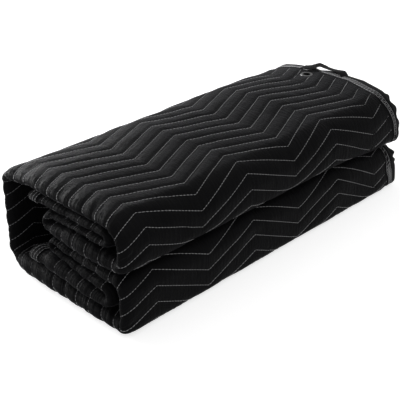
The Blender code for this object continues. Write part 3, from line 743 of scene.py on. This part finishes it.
def tape_channel(section, side):
    """Cross-section of the binding over one sheet's bound edge."""
    end = section.end[side]
    half = section.half_sheet(end, end)
    middle = section.spread(end)
    start = end - BINDING_WIDTH
    near, far = half + GAP, half + GAP + BINDING_THICK
    lip = end + GAP + BINDING_THICK
    pucker = TAPE_PUCKERS * rough(section.along * 160.0, side * 3.0, 0.0)
    outline = [
        (start, far - 0.3 * MM, 1), (start + 1.5 * MM, far + pucker, 1), (end - 13 * MM, far - pucker, 1),
        (end - 8 * MM, far - 0.2 * MM, 1), (end - 4 * MM, far + 0.3 * MM - pucker, 1),
        (lip - 0.6 * MM, far - 0.5 * MM, 1), (lip, 0.6 * far, 1), (lip, -0.6 * far, 0),
        (lip - 0.6 * MM, -far + 0.5 * MM, 0), (start, -far, 0), (start, -near, 0), (end + GAP, -near, 0),
        (end + GAP, near, 1), (end - 6 * MM, near, 1), (end - 13 * MM, near, 1), (start, near - 0.1 * MM, 1),
    ]
    ring = []
    for x, offset, swayed in outline:
        sway = swayed * section.sway(section.seam_distance(x, side))
        ring.append(section.to_space(x, side * (middle + offset), sway))
    return ring


def make_end_binding(name, path, marks, side, material):
    """The tape over the bound edge of one sheet. Its outline's first ten points are its outer face."""
    rings = [tape_channel(Section(path, mark), side) for mark in marks]
    return new_piece(name, loft(rings, 10), material)


def make_side_binding(name, path, at_start, material):
    """Tape over one free side edge, from the outer sheet's end, round the fold, to the inner sheet's."""
    sign = 1 if at_start else -1
    edge = 0.0 if at_start else path.total
    overhang = GAP + BINDING_THICK
    lip = Section(path, edge)
    hem = Section(path, edge + sign * BINDING_SIDE_REACH)
    lip.channel = hem.channel = 0.0
    _, normal = path.frame(edge, 1.0)
    travel = Vector((0.0, normal.y, -normal.x)) * -sign

    def ring(point_of):
        corners = []
        for surface, lift, outward in ((1, overhang, 1), (-1, overhang, -1), (-1, GAP, 1), (1, GAP, -1)):
            pair = [point_of(hem, surface, lift), point_of(lip, surface, lift) + travel * lift]
            corners += pair[::outward]
        return corners

    def on_sheet(side, from_end):
        def point_of(section, surface, lift):
            end = section.end[side]
            x = section.start if from_end is None else max(end - from_end, FOLD_REACH)
            offset = section.spread(x) + surface * (section.half_sheet(x, end) + lift)
            return section.to_space(x, side * offset)

        return point_of

    rings = [ring(on_sheet(1, arm)) for arm in SIDE_ARMS] + [ring(on_sheet(1, None))]
    for angle in NOSE_ANGLES:
        rings.append(ring(lambda section, surface, lift: section.nose_point(angle, surface, lift)))
    rings += [ring(on_sheet(-1, None))] + [ring(on_sheet(-1, arm)) for arm in reversed(SIDE_ARMS)]
    return new_piece(name, loft(rings), material, smooth_shaded=False)


# ---- stitching ----


def add_stitch(work, points, ups, width=THREAD_WIDTH, high=THREAD_HIGH):
    """One stitch: a flat lozenge of thread through three points, its two ends drawn down into the cloth."""
    rings = []
    for index, (point, up) in enumerate(zip(points, ups)):
        before, after = points[max(index - 1, 0)], points[min(index + 1, len(points) - 1)]
        across = (after - before).cross(up).normalized() * width / 2
        sunk, thin = (0.55 * high, 0.6) if index in (0, len(points) - 1) else (0.0, 1.0)
        centre = point - up * sunk
        rings.append([
            work.verts.new(centre + across * thin),
            work.verts.new(centre + up * high),
            work.verts.new(centre - across * thin),
            work.verts.new(centre - up * 0.3 * high),
        ])
    for ring, after in zip(rings, rings[1:]):
        bridge(work, ring, after)
    work.faces.new(rings[0][::-1])
    work.faces.new(rings[-1])


def face_up(section, distance):
    """Outward direction of the cloth's face at a distance from the round fold."""
    low, high = section.on_cloth(distance), section.on_cloth(distance, MM)
    return (high - low).normalized()


def sew_line(work, section, first, last, sunk=0.0, lift=0.0):
    """A row of stitches from one seam distance to another, broken off at the grommet. With sunk above 0,
    some of them are out of sight in the padding."""
    grommet = middle_of_grommet()
    for count in range(int((last - first) / STITCHES)):
        start = first + count * STITCHES
        spots = [start, start + STITCH_LENGTH / 2, start + STITCH_LENGTH]
        points = [section.on_cloth(spot, lift) for spot in spots]
        if sunk and rough(start * 60.0, section.along * 47.0, 4.4) < sunk - 0.5:
            continue
        if min((point - grommet).length for point in points) > GROMMET_OUTER / 2 + 0.5 * MM:
            add_stitch(work, points, [face_up(section, spot) for spot in spots])


def make_quilting(path, material, ends_material):
    """Every quilting line that shows: whole on the exposed faces, and else at the two ends of a layer."""
    whole = bmesh.new()
    ends = bmesh.new()
    exposed = path.place_of("upper_fold_bottom") - 12 * MM, path.place_of("lower_fold_top") + 10 * MM
    in_hollow = path.place_of("run_1_over_run_2") - 10 * MM, path.place_of("run_8_back")
    clear_of_edge = BINDING_SIDE_REACH + HEM_CLEAR
    first = math.ceil((clear_of_edge - path.line_start) / STITCH_PITCH)
    last = math.floor((path.face_marks[-1] - clear_of_edge - path.line_start) / STITCH_PITCH)
    for index in range(first, last + 1):
        along = interpolate(path.line_start + index * STITCH_PITCH, path.face_marks, path.path_marks)
        section = Section(path, along)
        outer_stop = section.seam_distance(section.end[1] - SEWN_EDGE, 1)
        inner_stop = section.seam_distance(section.end[-1] - SEWN_EDGE, -1)
        if exposed[0] <= along <= exposed[1]:
            sew_line(whole, section, 0.0, outer_stop)
        else:
            sew_line(ends, section, 0.0, ENDS_SEWN, ENDS_SUNK)
            sew_line(ends, section, outer_stop - ENDS_SEWN, outer_stop)
        if in_hollow[0] <= along <= in_hollow[1]:
            sew_line(ends, section, inner_stop, 0.0)
        else:
            sew_line(ends, section, -ENDS_SEWN, 0.0, ENDS_SUNK)
            sew_line(ends, section, inner_stop, inner_stop + ENDS_SEWN)
    return [
        new_piece("quilting_thread_outer", whole, material),
        new_piece("quilting_thread_inner", ends, ends_material),
    ]


def make_edge_zigzag(name, path, side, material):
    """The zigzag between two straight rows that sews a binding down, along the bound edge of one sheet."""
    work = bmesh.new()
    top_run = path.place_of("run_1_front"), path.place_of("back_top")
    done = []
    for index in range(int((path.total - 2 * BINDING_SIDE_REACH) / ZIGZAG_STEP)):
        along = BINDING_SIDE_REACH + index * ZIGZAG_STEP
        section = Section(path, along)
        back = ZIGZAG_ROWS[index % 2]
        end = section.end[side]
        sway = section.sway(section.seam_distance(end - back, side))
        offset = section.spread(end) + section.half_sheet(end, end) + GAP + BINDING_THICK
        point = section.to_space(end - back, side * offset, sway)
        up = (section.to_space(end - back, side * (offset + MM), sway) - point).normalized()
        on_top = side > 0 and top_run[0] < along < top_run[1]
        for before in [] if on_top and LOOP_COVER[0] < point.y < LOOP_COVER[1] else done[-2:]:
            points = [before[0], (point + before[0]) / 2, point]
            add_stitch(work, points, [before[1], up, up], EDGE_THREAD_WIDTH, EDGE_THREAD_HIGH)
        done.append((point, up))
    return new_piece(name, work, material)


def make_side_stitches(name, path, at_start, material):
    """Rows of stitches that sew a side binding down."""
    work = bmesh.new()
    for back in SIDE_ROWS:
        along = back if at_start else path.total - back
        section = Section(path, along)
        section.channel = 0.0
        low = section.seam_distance(section.end[-1] - BINDING_WIDTH - 2 * MM, -1)
        high = section.seam_distance(section.end[1] - BINDING_WIDTH - 2 * MM, 1)
        sew_line(work, section, low, high, lift=GAP + BINDING_THICK)
    return new_piece(name, work, material)


# ---- grommet and loop ----


def make_grommet(material):
    """A rolled ring of two flanges and a barrel, turned about its own axis."""
    low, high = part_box("grommet")
    centre = middle_of_grommet()
    hole, rim = GROMMET_HOLE / 2, GROMMET_OUTER / 2
    top, grip = (high[2] - low[2]) / 2, GROMMET_GRIP / 2
    crest = lerp(hole, rim, 0.45)
    upper = [
        (GROMMET_BARREL, grip), (rim - 0.2 * MM, grip), (rim, grip + 0.35 * MM),
        (lerp(crest, rim, 0.6), top - 0.25 * MM), (crest, top),
        (lerp(hole, crest, 0.35), top - 0.15 * MM), (hole, grip + 0.2 * MM),
    ]
    profile = upper + [(radius, -height) for radius, height in reversed(upper)]
    work = bmesh.new()
    rings = []
    for step in range(GROMMET_STEPS):
        turn = 2 * math.pi * step / GROMMET_STEPS
        rings.append([
            work.verts.new(centre + Vector((radius * math.cos(turn), radius * math.sin(turn), height)))
            for radius, height in profile
        ])
    for ring, after in zip(rings, rings[1:] + rings[:1]):
        bridge(work, ring, after)
    bmesh.ops.recalc_face_normals(work, faces=work.faces[:])
    return new_piece("grommet_ring", work, material)


def spline_through(points, steps):
    """Catmull-Rom points through a short list of loop points."""
    result = []
    for index in range(len(points) - 1):
        before = points[max(index - 1, 0)]
        here, there = points[index], points[index + 1]
        after = points[min(index + 2, len(points) - 1)]
        for step in range(steps):
            t = step / steps
            value = []
            for a, b, c, d in zip(before, here, there, after):
                square, cube = 2 * a - 5 * b + 4 * c - d, 3 * b - a - 3 * c + d
                value.append(0.5 * (2 * b + (c - a) * t + square * t * t + cube * t**3))
            result.append(LoopPoint(*value))
    result.append(points[-1])
    return result


def make_loop(path, material):
    """The loop of tape whose two feet lie on the bound edge of the top sheet."""
    route = spline_through(LOOP_ROUTE, LOOP_STEPS)
    corner = LOOP_THICK / 2
    bend, far = 0.3 * corner, LOOP_WIDTH
    outline = [  # distance back from the loop's outer edge, and share of its thickness
        (0.0, 0.5), (bend, 0.85), (corner, 1.0), (far / 2, 1.06), (far - corner, 1.0), (far - bend, 0.85),
        (far, 0.5), (far - bend, 0.15), (far - corner, 0.0), (far / 2, 0.0), (corner, 0.0), (bend, 0.15),
    ]
    rings = []
    for index, point in enumerate(route):
        before, after = route[max(index - 1, 0)], route[min(index + 1, len(route) - 1)]
        middle, along = path.top_at(point.y)
        base = middle + EDGE_SHEET / 2 + 2 * GAP + BINDING_THICK
        base += path.measure("far", along) + edge_lift(path, along)
        end = LENGTH - path.measure("short_outer", along) - MM + point.shift
        slope = Vector((after.y - before.y, after.rise - before.rise)).normalized()
        up = Vector((slope.y, -slope.x))
        ring = []
        roll = math.radians(point.roll)
        for back, share in outline:
            lift = share * LOOP_THICK
            ring.append(Vector((
                end - back * math.cos(roll) - LENGTH / 2,
                point.y + up.x * lift,
                base + point.rise + up.y * lift + back * math.sin(roll),
            )))
        rings.append(ring)
    return new_piece("hanging_loop", loft(rings), material)


# ---- materials ----


class Nodes:
    """A short way to add and link shader nodes."""

    def __init__(self, name):
        self.material = bpy.data.materials.new(name)
        self.material.use_nodes = True
        self.tree = self.material.node_tree
        self.shader = self.tree.nodes["Principled BSDF"]

    def add(self, kind, **settings):
        node = self.tree.nodes.new(kind)
        for key, value in settings.items():
            setattr(node, key, value)
        return node

    def added(self, kind, values, source, target):
        """A node with some of its sockets set, and one linked from a source."""
        node = self.add(kind)
        for name, value in values.items():
            node.inputs[name].default_value = value
        self.link(source, node.inputs[target])
        return node

    def link(self, source, target):
        self.tree.links.new(source, target)

    def object_place(self):
        return self.add("ShaderNodeTexCoord").outputs["Object"]

    def scaled(self, coordinates, scale):
        return self.added("ShaderNodeMapping", {"Scale": scale}, coordinates, "Vector").outputs["Vector"]

    def noise(self, coordinates, scale, detail):
        values = {"Scale": scale, "Detail": detail}
        return self.added("ShaderNodeTexNoise", values, coordinates, "Vector").outputs["Fac"]

    def wave(self, coordinates, scale, direction):
        values = {"Scale": scale, "Distortion": 0.6, "Detail": 1.0}
        texture = self.added("ShaderNodeTexWave", values, coordinates, "Vector")
        texture.wave_type, texture.bands_direction = "BANDS", direction
        return texture.outputs["Fac"]

    def maths(self, operation, first, second=0.0):
        node = self.add("ShaderNodeMath", operation=operation)
        for socket, value in zip(node.inputs, (first, second)):
            if isinstance(value, (int, float)):
                socket.default_value = value
            else:
                self.link(value, socket)
        return node.outputs[0]

    def separate(self, vector):
        return self.added("ShaderNodeSeparateXYZ", {}, vector, "Vector").outputs

    def map_range(self, value, **limits):
        """The value mapped from one range to another, by limits such as From_Min."""
        limits = {name.replace("_", " "): limit for name, limit in limits.items()}
        return self.added("ShaderNodeMapRange", limits, value, "Value").outputs["Result"]

    def near_round_fold(self, place):
        """1 at the tip of a round fold and 0 from GATHER_REACH on, by the seam distance kept in the UVs."""
        away = self.maths("ABSOLUTE", self.separate(place)["X"])
        return self.map_range(away, From_Min=GATHER_REACH, From_Max=0.2 * GATHER_REACH)

    def ramp(self, factor, low, high):
        """Colours from low to high by a factor."""
        node = self.added("ShaderNodeValToRGB", {}, factor, "Fac")
        for element, colour in zip(node.color_ramp.elements, (low, high)):
            element.color = (*colour, 1.0)
        return node.outputs["Color"]

    def bump(self, height, distance, strength, under=None):
        values = {"Strength": strength, "Distance": distance}
        node = self.added("ShaderNodeBump", values, height, "Height")
        if under:
            self.link(under, node.inputs["Normal"])
        return node.outputs["Normal"]

    def finished(self, colour, normal, **values):
        """The material, with its colour and normal linked and its other values set, such as Sheen_Weight."""
        self.link(colour, self.shader.inputs["Base Color"])
        if normal:
            self.link(normal, self.shader.inputs["Normal"])
        for name, value in values.items():
            self.shader.inputs[name.replace("_", " ")].default_value = value
        return self.material


BLACKEST, BLACK = (0.003, 0.003, 0.0033), (0.008, 0.008, 0.0088)


def cloth_material():
    """Black woven polyester: fine weave, faint puckers across the stitch lines, a soft sheen."""
    made = Nodes("black_quilted_polyester")
    place = made.add("ShaderNodeUVMap", uv_map="cloth_metres").outputs["UV"]
    weave = made.maths("MULTIPLY", made.wave(place, 330.0, "X"), made.wave(place, 290.0, "Y"))
    streaks = made.noise(made.scaled(place, (210.0, 50.0, 1.0)), 1.0, 5.0)
    broad = made.noise(made.scaled(place, (9.0, 9.0, 1.0)), 1.0, 3.0)
    mottled = made.maths("MULTIPLY", made.maths("ADD", streaks, broad), 0.5)
    fine = made.noise(made.scaled(place, (16.0, 240.0, 1.0)), 1.0, 3.0)
    gathers = made.maths("MULTIPLY", fine, made.near_round_fold(place))
    puckers = made.bump(streaks, 0.0016, 0.9, made.bump(gathers, 0.0030, 1.0))
    return made.finished(
        made.ramp(mottled, BLACKEST, BLACK), made.bump(weave, 0.00025, 0.6, puckers), Roughness=0.55,
        Specular_IOR_Level=0.05, Sheen_Weight=0.065, Sheen_Roughness=0.3, Sheen_Tint=(0.85, 0.85, 0.92, 1.0),
    )


def tape_material():
    """Black woven tape with a fine rib."""
    made = Nodes("black_woven_tape")
    place = made.object_place()
    rib = made.wave(made.scaled(place, (0.3, 1.0, 1.0)), 420.0, "DIAGONAL")
    wear = made.noise(place, 60.0, 4.0)
    return made.finished(
        made.ramp(wear, BLACKEST, BLACK), made.bump(rib, 0.0003, 0.7),
        Roughness=0.6, Specular_IOR_Level=0.08, Sheen_Weight=0.03,
    )


def thread_material(name, low, high):
    """Twisted grey thread, a little uneven in tone."""
    made = Nodes(name)
    place = made.object_place()
    twist = made.wave(place, 900.0, "DIAGONAL")
    tone = made.noise(place, 90.0, 3.0)
    return made.finished(made.ramp(tone, low, high), made.bump(twist, 0.00015, 0.5), Roughness=0.6)


def metal_material():
    """Plated steel with a little dulling, its colour darkened nearly to black down the bore as painted shade.
    """
    made = Nodes("plated_grommet_metal")
    place = made.object_place()
    dulling = made.noise(place, 400.0, 4.0)
    centre = middle_of_grommet()
    apart = made.separate(place)
    squares = [
        made.maths("POWER", made.maths("SUBTRACT", apart[axis], value), 2.0)
        for axis, value in zip("XY", centre)
    ]
    # Painted shade in the hole: the colour is 0.06 of itself down the bore and grows to full over the next
    # millimetre of the flanges.
    bore_shade = made.map_range(
        made.maths("SQRT", made.maths("ADD", *squares)),
        From_Min=GROMMET_HOLE / 2 + 0.2 * MM, From_Max=GROMMET_HOLE / 2 + 1.2 * MM, To_Min=0.06,
    )
    tone = made.maths("ADD", made.maths("MULTIPLY", dulling, 0.14), 0.14)
    shade = made.maths("MULTIPLY", tone, bore_shade)
    grey = made.add("ShaderNodeCombineColor")
    for channel in ("Red", "Green", "Blue"):
        made.link(shade, grey.inputs[channel])
    rough = made.maths("ADD", made.maths("MULTIPLY", dulling, 0.22), 0.2)
    made.link(rough, made.shader.inputs["Roughness"])
    return made.finished(grey.outputs["Color"], made.bump(dulling, 0.00005, 0.4), Metallic=1.0)


def floor_material():
    """A pale floor that glows a little, so that it renders white as in the photograph."""
    made = Nodes("pale_floor")
    tone = made.noise(made.object_place(), 2.0, 2.0)
    return made.finished(
        made.ramp(tone, (0.74, 0.74, 0.74), (0.76, 0.76, 0.76)), None, Roughness=0.9,
        Specular_IOR_Level=0.1, Emission_Color=(1.0, 1.0, 1.0, 1.0), Emission_Strength=FLOOR_GLOW,
    )


# ---- stage ----


def placed(name, data, place, looks):
    """A light or camera at a place, turned to look in a direction."""
    made = new_object(name, data)
    made.location = place
    made.rotation_euler = looks.to_track_quat("-Z", "Y").to_euler()
    return made


def add_stage():
    """A plain pale floor, soft studio light and the camera."""
    work = bmesh.new()
    bmesh.ops.create_grid(work, x_segments=8, y_segments=8, size=FLOOR_HALF)
    for vertex in work.verts:
        vertex.co.z = -FLOOR_DROP
    floor = new_piece("floor", work, floor_material())
    floor.visible_diffuse = False
    floor.visible_glossy = False
    world = bpy.data.worlds.new("studio")
    world.use_nodes = True
    sky = world.node_tree.nodes["Background"].inputs
    sky["Color"].default_value = (1.0, 1.0, 1.0, 1.0)
    sky["Strength"].default_value = SKY_STRENGTH
    bpy.context.scene.world = world
    for light in LIGHTS:
        data = bpy.data.lights.new(light.name, "AREA")
        data.shape = "RECTANGLE"
        data.size, data.size_y = light.size
        data.energy = light.watts
        looks = Vector(light.looks_at) - Vector(light.place)
        placed(light.name, data, light.place, looks).visible_camera = False
    data = bpy.data.cameras.new("camera")
    data.lens, data.sensor_width = CAMERA_LENS, CAMERA_SENSOR
    bpy.context.scene.camera = placed("camera", data, CAMERA_PLACE, CAMERA_LOOKS)
    bpy.context.scene.view_settings.view_transform = "Standard"


def main():
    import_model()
    add_stage()
    path = FoldPath(FOLDS)
    marks = stations(path)
    cloth_look, tape_look = cloth_material(), tape_material()
    quilt_thread = thread_material("grey_quilting_thread", (0.38, 0.38, 0.385), (0.54, 0.54, 0.55))
    ends_thread = thread_material("grey_quilting_thread_shaded", (0.18, 0.18, 0.185), (0.34, 0.34, 0.35))
    edge_thread = thread_material("dark_grey_edge_thread", (0.32, 0.32, 0.325), (0.48, 0.48, 0.49))

    cloth = make_cloth(path, marks, cloth_look)
    outer = make_end_binding("bound_end_outer", path, marks, 1, tape_look)
    inner = make_end_binding("bound_end_inner", path, marks, -1, tape_look)
    upper = make_side_binding("bound_side_upper", path, True, tape_look)
    lower = make_side_binding("bound_side_lower", path, False, tape_look)
    grommet = make_grommet(metal_material())
    loop = make_loop(path, tape_look)
    threads = make_quilting(path, quilt_thread, ends_thread) + [
        make_edge_zigzag("edge_zigzag_outer", path, 1, edge_thread),
        make_edge_zigzag("edge_zigzag_inner", path, -1, edge_thread),
        make_side_stitches("side_stitches_upper", path, True, edge_thread),
        make_side_stitches("side_stitches_lower", path, False, edge_thread),
    ]

    stands_for = [
        (cloth, "quilted_panel", "quilted_cloth"), (outer, "binding_end_outer", "binding_tape"),
        (inner, "binding_end_inner", "binding_tape"), (upper, "binding_side_upper", "binding_tape"),
        (lower, "binding_side_lower", "binding_tape"), (grommet, "grommet", "grommet_metal"),
        (loop, "edge_loop", "binding_tape"),
    ]
    for piece, node, slot in stands_for:
        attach(piece, "root")
        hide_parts(node)
    for thread in threads:
        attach(thread, "root")


main()
